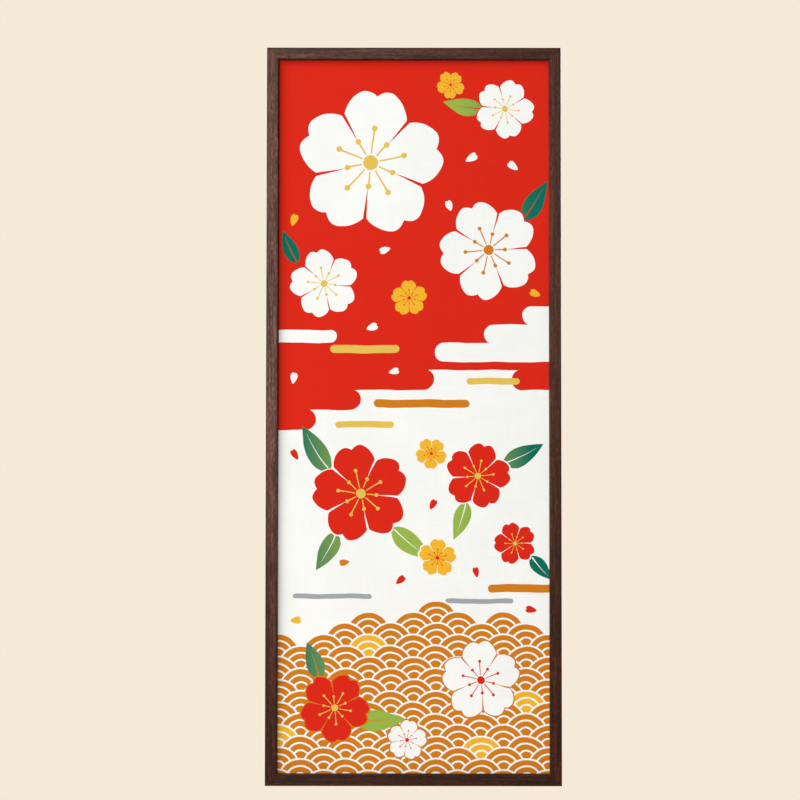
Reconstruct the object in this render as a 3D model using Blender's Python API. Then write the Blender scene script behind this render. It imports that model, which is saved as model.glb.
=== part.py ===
"""Tenugui towel held flat in a slim, dark stained wooden frame.

Metres, +Z up. The front faces -Y and the back +Y. The origin is the middle of the top rail's
back face, by which the frame hangs.
"""

import math

import bmesh
import bpy

# Frame
FRAME_WIDTH = 0.368
FRAME_HEIGHT = 0.920
FRAME_DEPTH = 0.020
RAIL_FACE = 0.015
OUTER_EDGE_RADIUS = 0.0010
INNER_EDGE_RADIUS = 0.0012
BACK_EDGE_RADIUS = 0.0005
EDGE_SEGMENTS = 3
SHARP_ANGLE_DEGREES = 40

# Layers in the rails' groove, from the front lip to the back of the board
LIP_THICKNESS = 0.0070
CLOTH_THICKNESS = 0.0010
BOARD_THICKNESS = 0.0030
COVERED_BY_LIP = 0.0060
CLEARANCE = 0.0003

# The cloth's slight unevenness: soft swells that rise from the board and die out near the lip,
# over SWELL_FADE. Each is a wave with its length, direction from +X and phase in degrees, and height.
CLOTH_COLUMNS = 14
CLOTH_ROWS = 36
SWELL_FADE = 0.045
SWELLS = (
    {"length": 0.210, "direction": 12.0, "phase": 40.0, "height": 0.00022},
    {"length": 0.330, "direction": 81.0, "phase": 115.0, "height": 0.00020},
    {"length": 0.145, "direction": 63.0, "phase": 250.0, "height": 0.00012},
    {"length": 0.120, "direction": -38.0, "phase": 10.0, "height": 0.00008},
)

# Sizes that follow from the driving ones
CLOTH_WIDTH = FRAME_WIDTH - 2 * (RAIL_FACE - COVERED_BY_LIP)
CLOTH_HEIGHT = FRAME_HEIGHT - 2 * (RAIL_FACE - COVERED_BY_LIP)
WINDOW_WIDTH = FRAME_WIDTH - 2 * RAIL_FACE
WINDOW_HEIGHT = FRAME_HEIGHT - 2 * RAIL_FACE
FRONT_Y = -FRAME_DEPTH
LIP_BACK_Y = FRONT_Y + LIP_THICKNESS
CLOTH_FRONT_Y = LIP_BACK_Y + CLEARANCE
CLOTH_BACK_Y = CLOTH_FRONT_Y + CLOTH_THICKNESS
BOARD_FRONT_Y = CLOTH_BACK_Y + CLEARANCE
BOARD_BACK_Y = BOARD_FRONT_Y + BOARD_THICKNESS
GROOVE_BACK_Y = BOARD_BACK_Y + CLEARANCE
GROOVE_FLOOR = RAIL_FACE - COVERED_BY_LIP - CLEARANCE
MITRE_SETBACK = CLEARANCE / 2 * math.sqrt(2)
CENTRE_Z = RAIL_FACE / 2 - FRAME_HEIGHT / 2


def clear_scene():
    for obj in list(bpy.data.objects):
        bpy.data.objects.remove(obj, do_unlink=True)


def linear(channel):
    """One sRGB channel, 0 to 255, as the linear value that a shader takes."""
    value = channel / 255
    if value <= 0.04045:
        return value / 12.92
    return ((value + 0.055) / 1.055) ** 2.4


def material(name, srgb, roughness, metallic=0.0):
    made = bpy.data.materials.new(name)
    made.use_nodes = True
    shader = made.node_tree.nodes["Principled BSDF"]
    shader.inputs["Base Color"].default_value = (*(linear(c) for c in srgb), 1.0)
    shader.inputs["Roughness"].default_value = roughness
    shader.inputs["Metallic"].default_value = metallic
    return made


def add_object(name, bm, surface, parent):
    """Turns the bmesh into a named object with its faces pointing out."""
    bmesh.ops.recalc_face_normals(bm, faces=bm.faces)
    mesh = bpy.data.meshes.new(name)
    bm.to_mesh(mesh)
    bm.free()
    mesh.materials.append(surface)
    obj = bpy.data.objects.new(name, mesh)
    bpy.context.scene.collection.objects.link(obj)
    obj.parent = parent
    return obj


def eased(corners):
    """The points of a closed outline whose corners are rounded by their own radius."""
    points = []
    count = len(corners)
    for index, (u, y, radius) in enumerate(corners):
        if radius == 0:
            points.append((u, y))
            continue
        before = corners[index - 1]
        after = corners[(index + 1) % count]
        to_before = math.atan2(before[1] - y, before[0] - u)
        to_after = math.atan2(after[1] - y, after[0] - u)
        centre_u = u + radius * (math.cos(to_before) + math.cos(to_after))
        centre_y = y + radius * (math.sin(to_before) + math.sin(to_after))
        turn = (to_before - to_after + math.pi) % (2 * math.pi) - math.pi
        for step in range(EDGE_SEGMENTS + 1):
            angle = to_after + math.pi + turn * step / EDGE_SEGMENTS
            points.append((centre_u + radius * math.cos(angle), centre_y + radius * math.sin(angle)))
    return points


def rail_outline():
    """The rail's section: u runs in from the frame's outer edge, y from the front to the back."""
    return eased([
        (0.0, FRONT_Y, OUTER_EDGE_RADIUS),
        (RAIL_FACE, FRONT_Y, INNER_EDGE_RADIUS),
        (RAIL_FACE, LIP_BACK_Y, 0.0),
        (GROOVE_FLOOR, LIP_BACK_Y, 0.0),
        (GROOVE_FLOOR, GROOVE_BACK_Y, 0.0),
        (RAIL_FACE, GROOVE_BACK_Y, 0.0),
        (RAIL_FACE, 0.0, BACK_EDGE_RADIUS),
        (0.0, 0.0, BACK_EDGE_RADIUS),
    ])


def make_rail(name, length, across, turn, surface, parent):
    """A rail of the given outer length, mitred at both ends and turned about the frame's middle.

    across is the distance from the frame's middle to the rail's outer edge. Before the turn, the
    rail lies along X at the top of the frame.
    """
    bm = bmesh.new()
    starts = []
    ends = []
    for u, y in rail_outline():
        reach = length / 2 - u - MITRE_SETBACK
        starts.append(bm.verts.new((-reach, y, across - u)))
        ends.append(bm.verts.new((reach, y, across - u)))
    count = len(starts)
    for index in range(count):
        following = (index + 1) % count
        bm.faces.new((starts[index], starts[following], ends[following], ends[index]))
    bm.faces.new(starts)
    bm.faces.new(ends)
    rail = add_object(name, bm, surface, parent)
    rail.location = (0.0, 0.0, CENTRE_Z)
    rail.rotation_euler = (0.0, turn, 0.0)
    return rail


def make_frame(surface, parent):
    half_turn = math.pi
    quarter_turn = math.pi / 2
    rails = (
        {"name": "rail_top", "length": FRAME_WIDTH, "across": FRAME_HEIGHT / 2, "turn": 0.0},
        {"name": "rail_bottom", "length": FRAME_WIDTH, "across": FRAME_HEIGHT / 2, "turn": half_turn},
        {"name": "rail_right", "length": FRAME_HEIGHT, "across": FRAME_WIDTH / 2, "turn": quarter_turn},
        {"name": "rail_left", "length": FRAME_HEIGHT, "across": FRAME_WIDTH / 2, "turn": -quarter_turn},
    )
    for rail in rails:
        make_rail(rail["name"], rail["length"], rail["across"], rail["turn"], surface, parent)


def swell(x, z):
    """How far the cloth stands off the board at a point measured from the cloth's middle."""
    inside = min(WINDOW_WIDTH / 2 - abs(x), WINDOW_HEIGHT / 2 - abs(z))
    fade = min(max(inside / SWELL_FADE, 0.0), 1.0)
    fade = fade * fade * (3 - 2 * fade)
    rise = 0.0
    for wave in SWELLS:
        direction = math.radians(wave["direction"])
        along = x * math.cos(direction) + z * math.sin(direction)
        angle = 2 * math.pi * along / wave["length"] + math.radians(wave["phase"])
        rise += wave["height"] * (1 + math.sin(angle)) / 2
    return fade * rise


def make_cloth(surface, parent):
    """One sheet of even thickness, clamped flat under the lip and slightly uneven inside it."""
    bm = bmesh.new()
    front = []
    back = []
    for row in range(CLOTH_ROWS + 1):
        z = (row / CLOTH_ROWS - 0.5) * CLOTH_HEIGHT
        front_row = []
        back_row = []
        for column in range(CLOTH_COLUMNS + 1):
            x = (column / CLOTH_COLUMNS - 0.5) * CLOTH_WIDTH
            rise = swell(x, z)
            front_row.append(bm.verts.new((x, CLOTH_FRONT_Y - rise, z)))
            back_row.append(bm.verts.new((x, CLOTH_BACK_Y - rise, z)))
        front.append(front_row)
        back.append(back_row)
    for side in (front, back):
        for row in range(CLOTH_ROWS):
            for column in range(CLOTH_COLUMNS):
                bm.faces.new((
                    side[row][column],
                    side[row][column + 1],
                    side[row + 1][column + 1],
                    side[row + 1][column],
                ))
    for column in range(CLOTH_COLUMNS):
        for row in (0, CLOTH_ROWS):
            bm.faces.new((
                front[row][column],
                front[row][column + 1],
                back[row][column + 1],
                back[row][column],
            ))
    for row in range(CLOTH_ROWS):
        for column in (0, CLOTH_COLUMNS):
            bm.faces.new((
                front[row][column],
                front[row + 1][column],
                back[row + 1][column],
                back[row][column],
            ))
    cloth = add_object("tenugui", bm, surface, parent)
    cloth.location = (0.0, 0.0, CENTRE_Z)
    cloth.data.shade_smooth()
    cloth.data.set_sharp_from_angle(angle=math.radians(SHARP_ANGLE_DEGREES))
    return cloth


def make_board(surface, parent):
    """The thin board that the cloth lies against, held in the same groove."""
    bm = bmesh.new()
    bmesh.ops.create_cube(bm, size=1.0)
    bmesh.ops.scale(bm, vec=(CLOTH_WIDTH, BOARD_THICKNESS, CLOTH_HEIGHT), verts=bm.verts)
    board = add_object("backing_board", bm, surface, parent)
    board.location = (0.0, (BOARD_FRONT_Y + BOARD_BACK_Y) / 2, CENTRE_Z)
    return board


def main():
    clear_scene()
    root = bpy.data.objects.new("framed_tenugui", None)
    bpy.context.scene.collection.objects.link(root)
    stained_wood = material("stained_wood", srgb=(84, 56, 46), roughness=0.45)
    dyed_cotton = material("dyed_cotton", srgb=(243, 242, 239), roughness=0.9)
    board_face = material("board_face", srgb=(176, 146, 110), roughness=0.8)
    make_frame(stained_wood, root)
    make_cloth(dyed_cotton, root)
    make_board(board_face, root)


main()
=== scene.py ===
import math

import bmesh
import bpy
import numpy as np
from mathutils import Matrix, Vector
from mathutils.geometry import delaunay_2d_cdt


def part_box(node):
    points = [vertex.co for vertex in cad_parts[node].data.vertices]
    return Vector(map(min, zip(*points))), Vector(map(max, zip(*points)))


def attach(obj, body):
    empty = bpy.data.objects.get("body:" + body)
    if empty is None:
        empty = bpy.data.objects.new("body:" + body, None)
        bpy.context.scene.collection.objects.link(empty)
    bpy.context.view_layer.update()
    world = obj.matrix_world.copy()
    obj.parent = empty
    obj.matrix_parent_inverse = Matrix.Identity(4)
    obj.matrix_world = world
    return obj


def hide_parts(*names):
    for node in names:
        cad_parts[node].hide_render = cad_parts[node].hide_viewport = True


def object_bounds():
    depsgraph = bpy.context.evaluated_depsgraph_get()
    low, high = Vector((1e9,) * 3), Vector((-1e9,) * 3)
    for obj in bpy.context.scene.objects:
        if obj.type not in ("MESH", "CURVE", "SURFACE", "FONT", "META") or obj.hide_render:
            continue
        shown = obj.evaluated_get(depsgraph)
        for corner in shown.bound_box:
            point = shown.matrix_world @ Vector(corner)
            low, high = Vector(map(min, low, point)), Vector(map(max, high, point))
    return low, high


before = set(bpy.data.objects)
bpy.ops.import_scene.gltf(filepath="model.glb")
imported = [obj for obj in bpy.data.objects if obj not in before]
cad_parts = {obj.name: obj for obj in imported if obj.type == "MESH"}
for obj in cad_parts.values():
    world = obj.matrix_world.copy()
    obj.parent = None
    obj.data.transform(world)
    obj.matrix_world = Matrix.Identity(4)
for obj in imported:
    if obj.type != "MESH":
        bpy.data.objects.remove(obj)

CAD_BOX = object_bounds()
MIDDLE = (CAD_BOX[0] + CAD_BOX[1]) / 2
MM = 0.001

# The towel lies where its solid is: its place and size are read from there
CLOTH_LOW, CLOTH_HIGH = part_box("tenugui")
WINDOW_HALF_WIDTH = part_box("rail_right")[0].x
WINDOW_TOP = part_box("rail_top")[0].z
WINDOW_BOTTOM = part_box("rail_bottom")[1].z
CLOTH_WIDTH = CLOTH_HIGH.x - CLOTH_LOW.x
CLOTH_HEIGHT = CLOTH_HIGH.z - CLOTH_LOW.z
CLOTH_MIDDLE_Z = (CLOTH_LOW.z + CLOTH_HIGH.z) / 2
WINDOW_HALF_HEIGHT = (WINDOW_TOP - WINDOW_BOTTOM) / 2
CAD_CLOTH_THICKNESS = 0.0010
COTTON_THICKNESS = 0.0004
CLOTH_REST_Y = CLOTH_HIGH.y - CAD_CLOTH_THICKNESS

# The photograph: the middle of the frame's outer edges in pixels, and the frame's height in
# pixels as seen without the camera's tilt
PHOTO_SIZE = 800
FRAME_MIDDLE_PX = (413.6, 416.9)
FRAME_HEIGHT_PX = 739.2
CAMERA_DISTANCE = 2.6
CAMERA_TILT_DEGREES = 2.0
CAMERA_ROLL_DEGREES = -0.05
SENSOR = 36.0

# Colours in sRGB, 0 to 255
DYES = {
    "white": (245, 246, 243),
    "red": (216, 36, 16),
    "ochre": (206, 123, 22),
    "yellow": (240, 180, 45),
    "gold": (226, 190, 84),
    "leaf_light": (150, 180, 72),
    "leaf_deep": (0, 108, 88),
    "grey": (160, 165, 170),
}


def linear(srgb):
    """An sRGB colour, 0 to 255, as the linear colour that a shader takes."""
    values = []
    for channel in srgb:
        value = channel / 255
        values.append(value / 12.92 if value <= 0.04045 else ((value + 0.055) / 1.055) ** 2.4)
    return (*values, 1.0)


# The camera


def add_camera():
    """A long lens set below the middle and tilted up a little, as in the photograph."""
    low, high = CAD_BOX
    metres_per_px = (high.z - low.z) / FRAME_HEIGHT_PX
    left_by = (FRAME_MIDDLE_PX[0] - PHOTO_SIZE / 2) * metres_per_px
    above_by = (FRAME_MIDDLE_PX[1] - PHOTO_SIZE / 2) * metres_per_px
    tilt = math.radians(CAMERA_TILT_DEGREES)
    # The tilt makes the nearer lower half look taller, which lowers the middle between the edges
    half_height = (high.z - low.z) / 2
    above_by -= half_height**2 * math.tan(tilt) / CAMERA_DISTANCE
    data = bpy.data.cameras.new("camera")
    data.sensor_width = SENSOR
    data.lens = SENSOR * CAMERA_DISTANCE / (PHOTO_SIZE * metres_per_px)
    camera = bpy.data.objects.new("camera", data)
    camera.location = (
        MIDDLE.x - left_by,
        low.y - CAMERA_DISTANCE,
        MIDDLE.z + above_by - CAMERA_DISTANCE * math.tan(tilt),
    )
    roll = math.radians(CAMERA_ROLL_DEGREES)
    camera.rotation_euler = (math.pi / 2 + tilt, roll, 0.0)
    bpy.context.scene.collection.objects.link(camera)
    bpy.context.scene.camera = camera


# Outlines of the dyed shapes. They are lists of (x, z) points in millimetres from the cloth's
# middle, and each later shape is dyed over the earlier ones.

# How far a chord may stray from its arc
FLATNESS = 0.04

# A blossom. Its margin is in millimetres, and the other lengths are shares of its radius.
PETALS = 5
PETAL_MARGIN = 2.0
PETAL_RADIUS = 0.42
PETAL_SWEEP_DEGREES = 230
NOTCH_DEPTH = 0.11
NOTCH_DEGREES = 13.0
NOTCH_ROUNDING = 1.7
SLIT = {"start": 0.36, "end": 0.745, "start_width": 0.004, "end_width": 0.046}
LONG_STAMEN = {"start": 0.12, "end": 0.46, "start_width": 0.020, "end_width": 0.026}
SHORT_STAMEN = {"start": 0.12, "end": 0.32, "start_width": 0.020, "end_width": 0.026}
STAMEN_TIP_RADIUS = 0.038
HEART_RADIUS = 0.100

# A leaf. A skew below 1 moves its widest place towards the stalk, and a pointing below 1 makes it
# fuller. The rib's width is in millimetres, and its start and length are shares of the leaf's
# length.
LEAF_POINTS = 18
LEAF_SKEW = 0.72
LEAF_POINTING = 0.95
RIB_WIDTH = 1.6
RIB_START = 0.06
RIB_LENGTH = 0.80

# A loose petal. Its lengths are shares of its size, and the taper widens it towards its notch.
FALLEN_HALF_LENGTH = 0.54
FALLEN_HALF_WIDTH = 0.31
FALLEN_TAPER = 0.42
FALLEN_NOTCH_AT = 0.42
FALLEN_NOTCH_DEGREES = 16


def steps_along(radius, degrees):
    """Even angles from 0 along an arc, so close that its chords stay within the flatness."""
    sweep = math.radians(degrees)
    count = math.ceil(sweep / math.sqrt(8 * FLATNESS / radius))
    return [sweep * index / count for index in range(count + 1)]


def turned(points, centre, degrees):
    """The points turned about (0, 0) and then moved to the centre."""
    angle = math.radians(degrees)
    cos, sin = math.cos(angle), math.sin(angle)
    return [(centre[0] + x * cos - z * sin, centre[1] + x * sin + z * cos) for x, z in points]


def dot(centre, radius):
    """A round spot."""
    steps = steps_along(radius, 360)[:-1]
    return [(centre[0] + radius * math.cos(a), centre[1] + radius * math.sin(a)) for a in steps]


def petal_ring(radius):
    """Five round petals, each notched at its tip, run together as one closed outline."""
    petal = PETAL_RADIUS * radius
    reach = radius - petal
    sector = 2 * math.pi / PETALS
    notch = math.radians(NOTCH_DEGREES)
    parts = len(steps_along(petal, PETAL_SWEEP_DEGREES))
    points = []
    for step in range(PETALS * parts):
        angle = sector * step / parts
        off = (angle + sector / 2) % sector - sector / 2
        distance = reach * math.cos(off) + math.sqrt(petal**2 - (reach * math.sin(off)) ** 2)
        distance -= NOTCH_DEPTH * radius * max(1 - abs(off) / notch, 0) ** NOTCH_ROUNDING
        points.append((distance * math.cos(angle), distance * math.sin(angle)))
    return points


def ray(stroke, radius, degrees):
    """A thin straight stroke that points away from (0, 0)."""
    start = stroke["start"] * radius
    end = stroke["end"] * radius
    start_width = stroke["start_width"] * radius
    end_width = stroke["end_width"] * radius
    corners = [
        (start, -start_width / 2),
        (end, -end_width / 2),
        (end, end_width / 2),
        (start, start_width / 2),
    ]
    return turned(corners, (0, 0), degrees)


def blossom(centre, radius, turn, dye, ground, heart):
    """A cherry blossom: petals with a thin margin and narrow slits of the ground, and a heart."""
    shapes = [(petal_ring(radius + PETAL_MARGIN), ground), (petal_ring(radius), dye)]
    sector = 360 / PETALS
    for index in range(PETALS):
        shapes.append((ray(SLIT, radius, sector * (index + 0.5)), ground))
    for index in range(2 * PETALS):
        angle = sector / 2 * index
        stamen = LONG_STAMEN if index % 2 == 0 else SHORT_STAMEN
        tip = turned([(stamen["end"] * radius, 0)], (0, 0), angle)[0]
        shapes.append((ray(stamen, radius, angle), heart))
        shapes.append((dot(tip, STAMEN_TIP_RADIUS * radius), heart))
    shapes.append((dot((0, 0), HEART_RADIUS * radius), heart))
    return [(turned(points, centre, turn), colour) for points, colour in shapes]


def leaf(base, length, width, degrees, bend):
    """An oval leaf from its stalk, widest nearer the stalk, with a drawn-out tip."""
    upper = []
    lower = []
    for step in range(LEAF_POINTS + 1):
        t = step / LEAF_POINTS
        half = width / 2 * max(math.sin(math.pi * t**LEAF_SKEW), 0.0) ** LEAF_POINTING
        x = length * t
        z = bend * length * t * t
        upper.append((x, z + half))
        lower.append((x, z - half))
    return turned(upper + lower[-2:0:-1], base, degrees)


def rib(base, length, degrees, bend):
    """The thin line along the middle of a leaf."""
    upper = []
    lower = []
    for step in range(LEAF_POINTS + 1):
        t = RIB_START + RIB_LENGTH * step / LEAF_POINTS
        half = RIB_WIDTH / 2 * (1 - step / LEAF_POINTS)
        upper.append((length * t, bend * length * t * t + half))
        lower.append((length * t, bend * length * t * t - half))
    return turned(upper + lower[-2::-1], base, degrees)


def loose_petal(centre, size, degrees):
    """One fallen petal, drawn in at its base and lightly notched at its wide end."""
    points = [(size * FALLEN_NOTCH_AT, 0)]
    for step in steps_along(size / 2, 360 - 2 * FALLEN_NOTCH_DEGREES):
        angle = step + math.radians(FALLEN_NOTCH_DEGREES)
        half = FALLEN_HALF_WIDTH * (1 + FALLEN_TAPER * math.cos(angle))
        points.append((size * FALLEN_HALF_LENGTH * math.cos(angle), size * half * math.sin(angle)))
    return turned(points, centre, degrees)


def bar(left, right, z, half):
    """A level bar of mist with round ends."""
    points = []
    for centre, start in ((right - half, -90), (left + half, 90)):
        for step in steps_along(half, 180):
            angle = step + math.radians(start)
            points.append((centre + half * math.cos(angle), z + half * math.sin(angle)))
    return points


def half_disc(centre, radius):
    """The upper half of a disc, closed just below its middle."""
    steps = steps_along(radius, 180)
    arc = [(centre[0] + radius * math.cos(a), centre[1] + radius * math.sin(a)) for a in steps]
    foot = centre[1] - WAVE_FOOT
    return [(centre[0] + radius, foot)] + arc + [(centre[0] - radius, foot)]


# Red ground above this height, and level bars of mist where it meets the white ground
RED_ABOVE = 56
MIST = (
    # left, right, z, half its height, dye
    (-260, 26, 44, 13, "red"),
    (-260, -66, 19, 13, "red"),
    (-260, -122, -6, 13, "red"),
    (122, 260, 44, 13, "red"),
    (26, 260, 78, 12, "white"),
    (88, 260, 101, 12, "white"),
    (136, 260, 124, 12, "white"),
    (-260, -96, 98, 8, "white"),
    (-104, -18, 82, 5, "gold"),
    (-50, 70, 14, 5, "ochre"),
    (-98, -24, -12, 4, "gold"),
    (66, 132, 42, 4, "gold"),
    (92, 260, -216, 5, "ochre"),
    (40, 124, -232, 3, "grey"),
    (-150, -52, -226, 3, "grey"),
)

# A field of overlapping round scales, lowest in the front, in millimetres. Each reaches a little
# below its middle. The field's top edge swings about a height, with a phase in degrees. A few
# scales, by row and column, are yellow.
WAVE_RADIUS = 28.0
WAVE_FOOT = 0.06 * WAVE_RADIUS
FIELD_TOP = -272.0
FIELD_SWING = 17.0
FIELD_SWING_LENGTH = 400.0
FIELD_SWING_PHASE = 65.0
WAVE_COLUMNS = 4
WAVE_ROWS = 17
WAVE_RINGS = (
    # share of the scale's radius, dye or None for the scale's own
    (1.00, "white"),
    (0.92, None),
    (0.69, "white"),
    (0.61, None),
    (0.38, "white"),
    (0.30, None),
)
YELLOW_ROW_STEP = 5
YELLOW_COLUMN_STEP = 3
YELLOW_EVERY = 17

# Blossoms. Each turn is in degrees, and the ground shows in the slits and the margin.
BLOSSOMS = (
    {"at": (-54, 316), "radius": 94, "turn": 12, "dye": "white", "ground": "red", "heart": "gold"},
    {"at": (94, 206), "radius": 64, "turn": 40, "dye": "white", "ground": "red", "heart": "ochre"},
    {"at": (114, 384), "radius": 38, "turn": 66, "dye": "white", "ground": "red", "heart": "gold"},
    {"at": (-112, 164), "radius": 44, "turn": 31, "dye": "white", "ground": "red", "heart": "gold"},
    {"at": (-6, 146), "radius": 23, "turn": 20, "dye": "yellow", "ground": "red", "heart": "red"},
    {"at": (46, 414), "radius": 18, "turn": 50, "dye": "yellow", "ground": "red", "heart": "red"},
    {"at": (-66, -98), "radius": 62, "turn": 30, "dye": "red", "ground": "white", "heart": "gold"},
    {"at": (80, -76), "radius": 42, "turn": 5, "dye": "red", "ground": "white", "heart": "gold"},
    {"at": (22, -48), "radius": 20, "turn": 50, "dye": "yellow", "ground": "white", "heart": "red"},
    {"at": (30, -178), "radius": 24, "turn": 15, "dye": "yellow", "ground": "white", "heart": "red"},
    {"at": (126, -160), "radius": 27, "turn": 35, "dye": "red", "ground": "white", "heart": "gold"},
    {"at": (84, -330), "radius": 50, "turn": 22, "dye": "white", "ground": "ochre", "heart": "red"},
    {"at": (-98, -364), "radius": 44, "turn": 60, "dye": "red", "ground": "ochre", "heart": "gold"},
    {"at": (-8, -404), "radius": 25, "turn": 10, "dye": "white", "ground": "ochre", "heart": "red"},
)

# Leaves, each from the end of its stalk. The ground shows along the rib.
LEAVES = (
    # x, z, length, width, direction in degrees, bend, ground
    (-104, -70, 66, 27, 128, -0.10, "white"),
    (-26, -140, 64, 26, -46, 0.10, "white"),
    (-96, -146, 54, 23, -112, -0.10, "white"),
    (112, -62, 56, 24, 22, 0.10, "white"),
    (66, -108, 50, 21, -104, -0.08, "white"),
    (146, -176, 40, 18, -52, 0.10, "white"),
    (-72, -382, 62, 26, 8, -0.10, "ochre"),
    (-116, -330, 50, 22, 104, 0.10, "ochre"),
    (-146, 190, 44, 19, 118, -0.08, "red"),
    (136, 244, 58, 24, 52, 0.10, "red"),
    (86, 384, 50, 22, 176, -0.10, "red"),
)

LOOSE_PETALS = (
    # x, z, size, direction in degrees, dye
    (72, 322, 15, 30, "white"),
    (44, 262, 13, 110, "white"),
    (-150, 244, 14, 75, "yellow"),
    (-36, 206, 13, 200, "white"),
    (124, 312, 14, 140, "white"),
    (-52, 110, 14, 20, "white"),
    (152, 152, 13, 160, "yellow"),
    (-150, 46, 13, 80, "white"),
    (-24, 54, 12, 15, "white"),
    (-148, -50, 13, 120, "red"),
    (24, -112, 13, 60, "red"),
    (-86, -184, 12, 190, "ochre"),
    (-16, -206, 13, 40, "red"),
    (78, -196, 12, 100, "red"),
    (146, -242, 13, 170, "red"),
    (-146, -256, 13, 10, "yellow"),
)

# The stencils are cut by hand, so no edge is quite straight: waves that shift every outline.
# Those that shift it sideways run up the cloth at a slant, and those that shift it upright run
# across at another.
LONGEST_EDGE = 7.0
SIDEWAYS_SLANT = 0.3
UPRIGHT_SLANT = 0.4
HAND_WAVES = (
    # length in mm, shift in mm, phase in degrees
    (67.0, 0.40, 20.0),
    (31.0, 0.18, 140.0),
    (13.0, 0.08, 260.0),
)


def hand_cut(outline):
    """The outline with its long edges divided and every point shifted a little."""
    points = []
    for (x0, z0), (x1, z1) in zip(outline, outline[1:] + outline[:1]):
        parts = max(math.ceil(math.hypot(x1 - x0, z1 - z0) / LONGEST_EDGE), 1)
        for part in range(parts):
            x = x0 + (x1 - x0) * part / parts
            z = z0 + (z1 - z0) * part / parts
            shift_x = 0.0
            shift_z = 0.0
            for length, shift, phase in HAND_WAVES:
                start = math.radians(phase)
                up = 2 * math.pi * (z + SIDEWAYS_SLANT * x) / length
                across = 2 * math.pi * (x - UPRIGHT_SLANT * z) / length
                shift_x += shift * math.sin(up + start)
                shift_z += shift * math.sin(across + 2 * start)
            points.append((x + shift_x, z + shift_z))
    return points


def wave_field():
    """The scales from the highest row to the lowest, each as half discs from large to small."""
    shapes = []
    for row in range(WAVE_ROWS):
        z = FIELD_TOP + WAVE_RADIUS - row * WAVE_RADIUS / 2
        for column in range(-WAVE_COLUMNS, WAVE_COLUMNS + 1):
            x = (2 * column + row % 2) * WAVE_RADIUS
            turn = 2 * math.pi * x / FIELD_SWING_LENGTH + math.radians(FIELD_SWING_PHASE)
            if z > FIELD_TOP + FIELD_SWING * math.sin(turn):
                continue
            place = YELLOW_ROW_STEP * row + YELLOW_COLUMN_STEP * column
            own = "yellow" if place % YELLOW_EVERY == 0 else "ochre"
            for share, dye in WAVE_RINGS:
                shapes.append((half_disc((x, z), share * WAVE_RADIUS), dye or own))
    return shapes


def printed_shapes():
    """Every dyed shape in the order of dyeing, as (outline, dye)."""
    wide = CLOTH_WIDTH / MM
    high = CLOTH_HEIGHT / MM
    red_field = [(-wide, RED_ABOVE), (wide, RED_ABOVE), (wide, high), (-wide, high)]
    shapes = [(red_field, "red")]
    for left, right, z, half, dye in MIST:
        shapes.append((bar(left, right, z, half), dye))
    shapes += wave_field()
    for x, z, length, width, degrees, bend, ground in LEAVES:
        shapes.append((leaf((x, z), length, width, degrees, bend), "leaf"))
        shapes.append((rib((x, z), length, degrees, bend), ground))
    for flower in BLOSSOMS:
        shapes += blossom(
            flower["at"],
            flower["radius"],
            flower["turn"],
            flower["dye"],
            flower["ground"],
            flower["heart"],
        )
    for x, z, size, degrees, dye in LOOSE_PETALS:
        shapes.append((loose_petal((x, z), size, degrees), dye))
    return [(hand_cut(outline), dye) for outline, dye in shapes]


# The cloth's relief: soft swells that rise from the board and die out near the lip, over
# SWELL_FADE. Each is a wave with its length, direction from +X and phase in degrees, and height.

SWELL_FADE = 0.045
SWELLS = (
    {"length": 0.210, "direction": 12.0, "phase": 40.0, "height": 0.00022},
    {"length": 0.330, "direction": 81.0, "phase": 115.0, "height": 0.00020},
    {"length": 0.145, "direction": 63.0, "phase": 250.0, "height": 0.00012},
    {"length": 0.120, "direction": -38.0, "phase": 10.0, "height": 0.00008},
)

# The sheet's triangles, in millimetres: the grid between the outlines, how near two points count
# as one, and the kind of result, which is every triangle up to the convex hull
GRID_STEP = 9.0
SAME_POINT_WITHIN = 1e-4
TRIANGLES_OF_THE_HULL = 0

# Leaves are light within LIGHT_LEAF_WITHIN of the cloth's upright middle line, and deepen over
# LEAF_FADE beyond it, in millimetres
LIGHT_LEAF_WITHIN = 60.0
LEAF_FADE = 85.0

# Faces that meet at more than this angle keep a sharp edge
SHARP_ANGLE_DEGREES = 40


def swell(x, z):
    """How far the cloth stands off the board, at points measured from the cloth's middle."""
    inside = np.minimum(WINDOW_HALF_WIDTH - np.abs(x), WINDOW_HALF_HEIGHT - np.abs(z))
    fade = np.clip(inside / SWELL_FADE, 0, 1)
    fade = fade * fade * (3 - 2 * fade)
    rise = np.zeros_like(x)
    for wave in SWELLS:
        direction = math.radians(wave["direction"])
        along = x * math.cos(direction) + z * math.sin(direction)
        angle = 2 * math.pi * along / wave["length"] + math.radians(wave["phase"])
        rise += wave["height"] * (1 + np.sin(angle)) / 2
    return fade * rise


def counter_clockwise(points):
    """The same outline, running counter-clockwise."""
    area = 0.0
    for (x0, z0), (x1, z1) in zip(points, points[1:] + points[:1]):
        area += x0 * z1 - x1 * z0
    return points if area > 0 else points[::-1]


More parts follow.
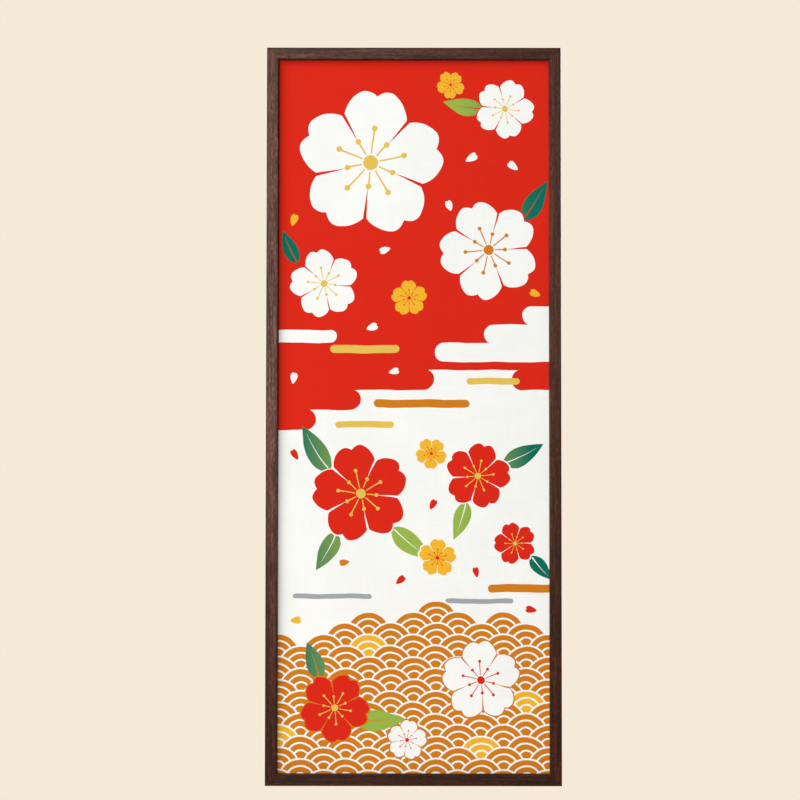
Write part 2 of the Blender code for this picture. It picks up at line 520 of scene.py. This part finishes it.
def dyed_triangles(shapes):
    """The cloth cut into triangles along every outline, as points, triangles and top shapes."""
    half_width = CLOTH_WIDTH / MM / 2
    half_height = CLOTH_HEIGHT / MM / 2
    sheet = [
        (-half_width, -half_height),
        (half_width, -half_height),
        (half_width, half_height),
        (-half_width, half_height),
    ]
    points = []
    faces = []
    for outline in [sheet] + [s[0] for s in shapes]:
        ordered = counter_clockwise(outline)
        faces.append(list(range(len(points), len(points) + len(ordered))))
        points += [Vector(p) for p in ordered]
    columns = round(2 * half_width / GRID_STEP)
    rows = round(2 * half_height / GRID_STEP)
    for row in range(rows + 1):
        for column in range(columns + 1):
            x = (column / columns - 0.5) * 2 * half_width
            z = (row / rows - 0.5) * 2 * half_height
            points.append(Vector((x, z)))
    made = delaunay_2d_cdt(points, [], faces, TRIANGLES_OF_THE_HULL, SAME_POINT_WITHIN)
    corners, _, triangles, _, _, sources = made
    # Outline 0 is the sheet itself, and the last one around a triangle gives its dye
    kept = [(t, max(s)) for t, s in zip(triangles, sources) if 0 in s]
    return corners, [t for t, _ in kept], [top for _, top in kept]


def leaf_colour(x, z):
    """Leaves turn from light green near the cloth's middle to deep blue-green at its sides."""
    depth = min(max((abs(x) - LIGHT_LEAF_WITHIN) / LEAF_FADE, 0.0), 1.0)
    light = linear(DYES["leaf_light"])
    deep = linear(DYES["leaf_deep"])
    return tuple(a + (b - a) * depth for a, b in zip(light, deep))


# Where the front, the back and the rim lie on the map of the cloth's colours
FRONT_ON_MAP = (0.005, 0.750)
BACK_ON_MAP = (0.765, 0.970)
RIM_ON_MAP = (0.980, 0.995)
MAP_LOW, MAP_HIGH = 0.005, 0.995


def between(span, share):
    """The number that lies a share of the way along a span."""
    return span[0] + (span[1] - span[0]) * share


def make_cloth():
    """The towel as one thin closed sheet: a dyed front, a back, and a rim where it was cut."""
    shapes = printed_shapes()
    corners, triangles, tops = dyed_triangles(shapes)
    used = sorted({vertex for triangle in triangles for vertex in triangle})
    renumbered = {vertex: index for index, vertex in enumerate(used)}
    triangles = [tuple(renumbered[v] for v in t) for t in triangles]
    flat = np.array([corners[v] for v in used])
    count = len(flat)
    x = flat[:, 0] * MM
    z = flat[:, 1] * MM
    front = np.stack([x, CLOTH_REST_Y - swell(x, z), z + CLOTH_MIDDLE_Z], axis=1)
    back = front + np.array([0, COTTON_THICKNESS, 0])
    edges = {edge for a, b, c in triangles for edge in ((a, b), (b, c), (c, a))}
    rim = sorted(edge for edge in edges if (edge[1], edge[0]) not in edges)
    front_faces = list(triangles)
    back_faces = [tuple(v + count for v in reversed(t)) for t in triangles]
    rim_faces = [(end, start, start + count, end + count) for start, end in rim]
    faces = front_faces + back_faces + rim_faces
    mesh = bpy.data.meshes.new("tenugui_cloth")
    mesh.from_pydata(np.concatenate([front, back]).tolist(), [], faces)

    colours = [linear(DYES["white"])]
    for _, dye in shapes:
        colours.append(linear(DYES[dye]) if dye in DYES else None)
    dyed = []
    mapped = []
    across = x / CLOTH_WIDTH + 0.5
    up = MAP_LOW + (z / CLOTH_HEIGHT + 0.5) * (MAP_HIGH - MAP_LOW)
    for face, top in zip(front_faces + back_faces, tops + tops):
        span = FRONT_ON_MAP if face[0] < count else BACK_ON_MAP
        for vertex in face:
            place = vertex % count
            dyed.append(colours[top] or leaf_colour(*flat[place]))
            mapped.append((between(span, across[place]), up[place]))
    for face in rim_faces:
        for index, vertex in enumerate(face):
            share = 0.0 if index < 2 else 1.0
            dyed.append(colours[0])
            mapped.append((between(RIM_ON_MAP, share), up[vertex % count]))
    attribute = mesh.color_attributes.new(name="dye", type="FLOAT_COLOR", domain="CORNER")
    attribute.data.foreach_set("color", np.array(dyed, np.float32).ravel())
    layer = mesh.uv_layers.new(name="OFBake")
    layer.data.foreach_set("uv", np.array(mapped, np.float32).ravel())
    mesh.shade_smooth()
    mesh.set_sharp_from_angle(angle=math.radians(SHARP_ANGLE_DEGREES))
    cloth = bpy.data.objects.new("tenugui_cloth", mesh)
    bpy.context.scene.collection.objects.link(cloth)
    return cloth


# The glued mitres: a thin film in each corner between the rails' slanting ends, a little behind
# their surface. Each row is a corner of the rail's section in millimetres: how far in from the
# frame's outer edge, and how far forward from its back.
MITRE_SECTION = (
    (1.0, 19.9),
    (13.8, 19.9),
    (14.9, 18.8),
    (14.9, 13.1),
    (8.6, 13.1),
    (8.6, 8.0),
    (14.9, 8.0),
    (14.9, 0.6),
    (14.4, 0.1),
    (0.6, 0.1),
    (0.1, 0.6),
    (0.1, 19.0),
)
FILM_THICKNESS = 0.00028


def make_mitres():
    """The films of all four corners as one piece."""
    low, high = CAD_BOX
    half_width = (high.x - low.x) / 2
    half_height = (high.z - low.z) / 2
    points = []
    faces = []
    count = len(MITRE_SECTION)
    for side in (-1, 1):
        for end in (-1, 1):
            first = len(points)
            for shift in (-1, 1):
                offset = shift * FILM_THICKNESS / 2 / math.sqrt(2)
                for inward, forward in MITRE_SECTION:
                    x = MIDDLE.x + side * (half_width - inward * MM + offset)
                    z = MIDDLE.z + end * (half_height - inward * MM - offset)
                    points.append((x, high.y - forward * MM, z))
            near = list(range(first, first + count))
            far = [index + count for index in near]
            faces += [near, far[::-1]]
            for index in range(count):
                following = (index + 1) % count
                faces.append([near[index], far[index], far[following], near[following]])
    mesh = bpy.data.meshes.new("mitre_glue")
    mesh.from_pydata(points, [], faces)
    closed = bmesh.new()
    closed.from_mesh(mesh)
    bmesh.ops.recalc_face_normals(closed, faces=closed.faces)
    closed.to_mesh(mesh)
    closed.free()
    glue = bpy.data.objects.new("mitre_glue", mesh)
    bpy.context.scene.collection.objects.link(glue)
    return glue


# Materials


class Nodes:
    """Short ways to add and join a material's nodes."""

    def __init__(self, name):
        self.material = bpy.data.materials.new(name)
        self.material.use_nodes = True
        self.tree = self.material.node_tree
        self.shader = self.tree.nodes["Principled BSDF"]
        self.place = self.add("ShaderNodeTexCoord").outputs["Object"]

    def add(self, kind, inputs=None, **settings):
        """A new node, with values or links for its inputs."""
        node = self.tree.nodes.new(kind)
        for key, value in settings.items():
            setattr(node, key, value)
        for key, value in (inputs or {}).items():
            self.feed(node.inputs[key], value)
        return node

    def feed(self, socket, value):
        """Links another node's output to the input, or sets a value on it."""
        if isinstance(value, bpy.types.NodeSocket):
            self.tree.links.new(value, socket)
        else:
            socket.default_value = value

    def scaled(self, scale):
        """The object's own coordinates, stretched by a scale for each axis."""
        return self.add("ShaderNodeMapping", {"Vector": self.place, "Scale": scale}).outputs[0]

    def noise(self, scale, detail=2.0, roughness=0.5):
        """Soft noise around 0.5, with a scale per metre for each axis."""
        inputs = {"Vector": self.scaled(scale), "Scale": 1.0}
        inputs.update({"Detail": detail, "Roughness": roughness})
        return self.add("ShaderNodeTexNoise", inputs).outputs["Fac"]

    def math(self, operation, first, second=0.0):
        """One step of arithmetic."""
        return self.add("ShaderNodeMath", {0: first, 1: second}, operation=operation).outputs[0]

    def spread(self, value, span, onto):
        """A number mapped from one span onto another, and held at its ends."""
        inputs = {"Value": value, 1: span[0], 2: span[1], 3: onto[0], 4: onto[1]}
        return self.add("ShaderNodeMapRange", inputs).outputs[0]

    def times(self, colour, factor):
        """A colour scaled by a number."""
        inputs = {0: colour, "Scale": factor}
        return self.add("ShaderNodeVectorMath", inputs, operation="SCALE").outputs[0]

    def ramp(self, value, stops):
        """Colours by a number, from stops of (number, sRGB colour)."""
        node = self.add("ShaderNodeValToRGB", {"Fac": value})
        ramp = node.color_ramp
        while len(ramp.elements) < len(stops):
            ramp.elements.new(0.5)
        for element, (position, srgb) in zip(ramp.elements, stops):
            element.position = position
            element.color = linear(srgb)
        return node.outputs["Color"]

    def bump(self, height, distance, strength, under=None):
        """A normal bent by a height, on top of the normal under it."""
        inputs = {"Height": height, "Distance": distance, "Strength": strength}
        if under is not None:
            inputs["Normal"] = under
        return self.add("ShaderNodeBump", inputs).outputs[0]

    def finish(self, values):
        """Sets even values on the shader itself."""
        for name, value in values.items():
            self.shader.inputs[name].default_value = value


# The cotton. Noise scales are per metre along x, y and z, and distances are in metres. The dye is
# scaled by a cloud tone, with the warp's and the weft's tones added or taken away.
THREAD_PITCH = 0.00050
WARP_SCALE = (900, 1, 16)
WEFT_SCALE = (14, 1, 850)
CLOUD_SCALE = (11, 1, 9)
SLUB_SPAN = (0.25, 0.75)
CLOUD_SPAN = (0.3, 0.7)
WARP_TONES = (-0.026, 0.026)
WEFT_TONES = (-0.022, 0.022)
CLOUD_TONES = (0.965, 1.01)
COTTON_ROUGHNESS = (0.86, 0.94)
WEAVE_BUMP = {"distance": 0.00006, "strength": 0.55}
SLUB_BUMP = {"distance": 0.00010, "strength": 0.45}
COTTON_FINISH = {"Specular IOR Level": 0.15, "Sheen Weight": 0.05, "Sheen Roughness": 0.5}


def cotton_material():
    """Plain woven cotton: dye from the mesh, uneven threads both ways, and a fine weave as bump."""
    n = Nodes("dyed_cotton")
    dye = n.add("ShaderNodeVertexColor", layer_name="dye").outputs["Color"]
    warp_slubs = n.noise(WARP_SCALE, detail=3.0, roughness=0.6)
    weft_slubs = n.noise(WEFT_SCALE, detail=3.0, roughness=0.6)
    clouds = n.noise(CLOUD_SCALE, detail=3.0, roughness=0.55)
    warp = n.spread(warp_slubs, SLUB_SPAN, WARP_TONES)
    weft = n.spread(weft_slubs, SLUB_SPAN, WEFT_TONES)
    threads = n.math("ADD", warp, weft)
    shade = n.math("ADD", threads, n.spread(clouds, CLOUD_SPAN, CLOUD_TONES))
    n.feed(n.shader.inputs["Base Color"], n.times(dye, shade))
    parts = n.add("ShaderNodeSeparateXYZ", {0: n.place})
    turns = 2 * math.pi / (2 * THREAD_PITCH)
    across = n.math("MULTIPLY", parts.outputs["X"], turns)
    up = n.math("MULTIPLY", parts.outputs["Z"], turns)
    over = n.math("MULTIPLY", n.math("SINE", across), n.math("SINE", up))
    weave = n.bump(n.math("ABSOLUTE", over), **WEAVE_BUMP)
    slubs = n.math("ADD", warp_slubs, weft_slubs)
    n.feed(n.shader.inputs["Normal"], n.bump(slubs, **SLUB_BUMP, under=weave))
    n.feed(n.shader.inputs["Roughness"], n.spread(clouds, CLOUD_SPAN, COTTON_ROUGHNESS))
    n.finish(COTTON_FINISH)
    return n.material


# The rails are lit and shaded copies of one wood: each rail's colour is scaled by a painted light
# level, lighter on the side rails, darker on the top rail and darkest on the bottom rail, for how
# the light falls on them.
RAILS = (
    # node, axis of its grain, and its painted light level: a painted lighter or darker tone for how
    # the light falls on that rail
    ("rail_left", "z", 1.05),
    ("rail_right", "z", 1.10),
    ("rail_top", "x", 0.80),
    ("rail_bottom", "x", 0.56),
)

# The wood's grain. Noise scales are per metre across and along it, and share is each layer's part
# of the tone. Where the pores' noise is past its span, they are open and darker. The two heights
# are shares of the bump's distance.
GRAIN = {
    "bands": {"across": 170, "along": 4, "share": 0.22},
    "streaks": {"across": 560, "along": 24, "share": 0.34},
    "flecks": {"across": 1150, "along": 170, "share": 0.44},
}
PORES = {"across": 1700, "along": 55}
PORE_SPAN = (0.56, 0.64)
PORE_LIGHTNESS = 0.33
STAIN = (
    # tone, sRGB colour
    (0.41, (9, 2, 0)),
    (0.47, (31, 10, 3)),
    (0.53, (56, 24, 10)),
    (0.59, (86, 45, 25)),
)
FLECK_HEIGHT = 0.8
SURFACE_HEIGHT = 0.3
GRAIN_BUMP = {"distance": 0.00016, "strength": 0.85}
LACQUER_SPAN = (0.42, 0.58)
LACQUER_ROUGHNESS = (0.46, 0.29)
LACQUER_FINISH = {"Specular IOR Level": 0.38, "Specular Tint": (1.0, 0.62, 0.50, 1.0)}


def wood_material(name, lengthwise, painted_light_level):
    """Dark stained, open-grained wood with satin lacquer. lengthwise is the axis of its grain, and
    the last argument scales the whole colour as painted light or shade for how the light falls on
    this rail.
    """
    n = Nodes(name)

    def grained(layer, detail):
        """Noise stretched along the grain."""
        scale = [layer["along"] if axis == lengthwise else layer["across"] for axis in "xyz"]
        return n.noise(scale, detail)

    noises = {key: grained(layer, detail=2.0) for key, layer in GRAIN.items()}
    tone = 0.0
    for key, layer in GRAIN.items():
        tone = n.math("ADD", tone, n.math("MULTIPLY", noises[key], layer["share"]))
    solid = n.spread(grained(PORES, detail=1.0), PORE_SPAN, (1.0, 0.0))
    # Painted light and shade: the rail's whole colour, pores included, is scaled by its painted
    # light level.
    depth = n.spread(solid, (0.0, 1.0), (PORE_LIGHTNESS * painted_light_level, painted_light_level))
    n.feed(n.shader.inputs["Base Color"], n.times(n.ramp(tone, STAIN), depth))
    n.feed(n.shader.inputs["Roughness"], n.spread(tone, LACQUER_SPAN, LACQUER_ROUGHNESS))
    flecks = n.math("MULTIPLY", noises["flecks"], FLECK_HEIGHT)
    height = n.math("ADD", flecks, n.math("MULTIPLY", solid, SURFACE_HEIGHT))
    n.feed(n.shader.inputs["Normal"], n.bump(height, **GRAIN_BUMP))
    n.finish(LACQUER_FINISH)
    return n.material


# The board. Noise scales are per metre, and the blotches and fibres share the tone.
BLOTCH_SCALE = (9, 9, 9)
FIBRE_SCALE = (420, 420, 260)
SPECK_SCALE = (900, 900, 900)
BLOTCH_SHARE = 0.22
BOARD_TONES = (
    # tone, sRGB colour
    (0.30, (150, 118, 84)),
    (0.50, (166, 133, 97)),
    (0.70, (181, 148, 111)),
)
SPECK_SPAN = (0.62, 0.72)
SPECK_TONES = (1.0, 0.78)
FIBRE_SPAN = (0.3, 0.7)
BOARD_ROUGHNESS = (0.68, 0.84)
FIBRE_BUMP = {"distance": 0.00010, "strength": 0.6}


def board_material():
    """The thin fibreboard behind the cloth: pale brown, with short fibres and soft blotches."""
    n = Nodes("board_face")
    blotches = n.noise(BLOTCH_SCALE, detail=3.0)
    fibres = n.noise(FIBRE_SCALE, detail=3.0, roughness=0.7)
    specks = n.noise(SPECK_SCALE, detail=1.0)
    soft = n.math("MULTIPLY", blotches, BLOTCH_SHARE)
    tone = n.math("ADD", soft, n.math("MULTIPLY", fibres, 1 - BLOTCH_SHARE))
    speckle = n.spread(specks, SPECK_SPAN, SPECK_TONES)
    n.feed(n.shader.inputs["Base Color"], n.times(n.ramp(tone, BOARD_TONES), speckle))
    n.feed(n.shader.inputs["Roughness"], n.spread(fibres, FIBRE_SPAN, BOARD_ROUGHNESS))
    n.feed(n.shader.inputs["Normal"], n.bump(fibres, **FIBRE_BUMP))
    return n.material


def wear(obj, material):
    """Gives the object this material alone."""
    obj.data.materials.clear()
    obj.data.materials.append(material)


# The studio. The backdrop and the floor are in sRGB, and the fill is linear. Places are in metres
# from the object's middle, which every light aims at.

BACKDROP = (245, 234, 216)
FLOOR_COLOUR = (228, 219, 206)
FLOOR_BELOW_MIDDLE = 1.2
FLOOR_HALF = 1.5
FLOOR_SCALE = (3, 3, 3)
FLOOR_SPAN = (0.3, 0.7)
FLOOR_TONES = (0.985, 1.0)
FLOOR_FINISH = {"Roughness": 0.9}
FILL_COLOUR = (1.0, 0.985, 0.96, 1.0)
FILL_STRENGTH = 0.14
LIGHTS = (
    {"name": "key", "place": (-4.9, -5.8, 4.9), "size": (6.4, 6.0), "watts": 505},
    {"name": "front_light", "place": (-0.50, -3.0, 0.46), "size": (0.3, 1.3), "watts": 40},
    {"name": "left_wash", "place": (-2.2, -0.9, 0.9), "size": (1.8, 1.8), "watts": 12},
    {"name": "back_key", "place": (1.6, 1.9, 0.8), "size": (1.4, 1.4), "watts": 60},
    {"name": "back_fill", "place": (-1.9, 1.7, 0.2), "size": (1.2, 1.6), "watts": 22},
)


def add_lights():
    """Soft lights at the front and the back, which the camera doesn't see."""
    for light in LIGHTS:
        data = bpy.data.lights.new(light["name"], "AREA")
        data.shape = "RECTANGLE"
        data.size, data.size_y = light["size"]
        data.energy = light["watts"]
        place = [m + offset for m, offset in zip(MIDDLE, light["place"])]
        towards = MIDDLE - Vector(place)
        lamp = bpy.data.objects.new(light["name"], data)
        lamp.location = place
        lamp.rotation_euler = towards.to_track_quat("-Z", "Y").to_euler()
        lamp.visible_camera = False
        bpy.context.scene.collection.objects.link(lamp)


def add_floor():
    """A pale floor far below the object."""
    z = MIDDLE.z - FLOOR_BELOW_MIDDLE
    corners = [(-1, -1), (1, -1), (1, 1), (-1, 1)]
    places = [(MIDDLE.x + a * FLOOR_HALF, MIDDLE.y + b * FLOOR_HALF, z) for a, b in corners]
    mesh = bpy.data.meshes.new("floor")
    mesh.from_pydata(places, [], [(0, 1, 2, 3)])
    floor = bpy.data.objects.new("floor", mesh)
    bpy.context.scene.collection.objects.link(floor)
    n = Nodes("floor")
    shade = n.spread(n.noise(FLOOR_SCALE), FLOOR_SPAN, FLOOR_TONES)
    n.feed(n.shader.inputs["Base Color"], n.times(linear(FLOOR_COLOUR)[:3], shade))
    n.finish(FLOOR_FINISH)
    wear(floor, n.material)


def add_world():
    """The camera sees a cream backdrop, and the object is filled by a soft neutral light."""
    world = bpy.data.worlds.new("studio")
    world.use_nodes = True
    tree = world.node_tree
    tree.nodes.clear()
    seen = tree.nodes.new("ShaderNodeBackground")
    seen.inputs["Color"].default_value = linear(BACKDROP)
    fill = tree.nodes.new("ShaderNodeBackground")
    fill.inputs["Color"].default_value = FILL_COLOUR
    fill.inputs["Strength"].default_value = FILL_STRENGTH
    path = tree.nodes.new("ShaderNodeLightPath")
    mix = tree.nodes.new("ShaderNodeMixShader")
    output = tree.nodes.new("ShaderNodeOutputWorld")
    tree.links.new(path.outputs["Is Camera Ray"], mix.inputs[0])
    tree.links.new(fill.outputs[0], mix.inputs[1])
    tree.links.new(seen.outputs[0], mix.inputs[2])
    tree.links.new(mix.outputs[0], output.inputs["Surface"])
    bpy.context.scene.world = world


def main():
    """Dresses the solids, adds the cloth and the mitres, and sets the stage."""
    scene = bpy.context.scene
    scene.view_settings.view_transform = "Standard"
    scene.view_settings.look = "None"
    add_camera()
    cloth = make_cloth()
    wear(cloth, cotton_material())
    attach(cloth, "root")
    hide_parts("tenugui")
    # Each rail gets its own copy of the wood, painted lighter or darker for how the light falls on
    # it.
    for rail, grain, painted_light_level in RAILS:
        wear(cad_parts[rail], wood_material("stained_painted_light_" + rail, grain, painted_light_level))
    wear(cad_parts["backing_board"], board_material())
    mitres = make_mitres()
    wear(mitres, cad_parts["rail_left"].data.materials[0])
    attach(mitres, "root")
    add_floor()
    add_world()
    add_lights()


main()
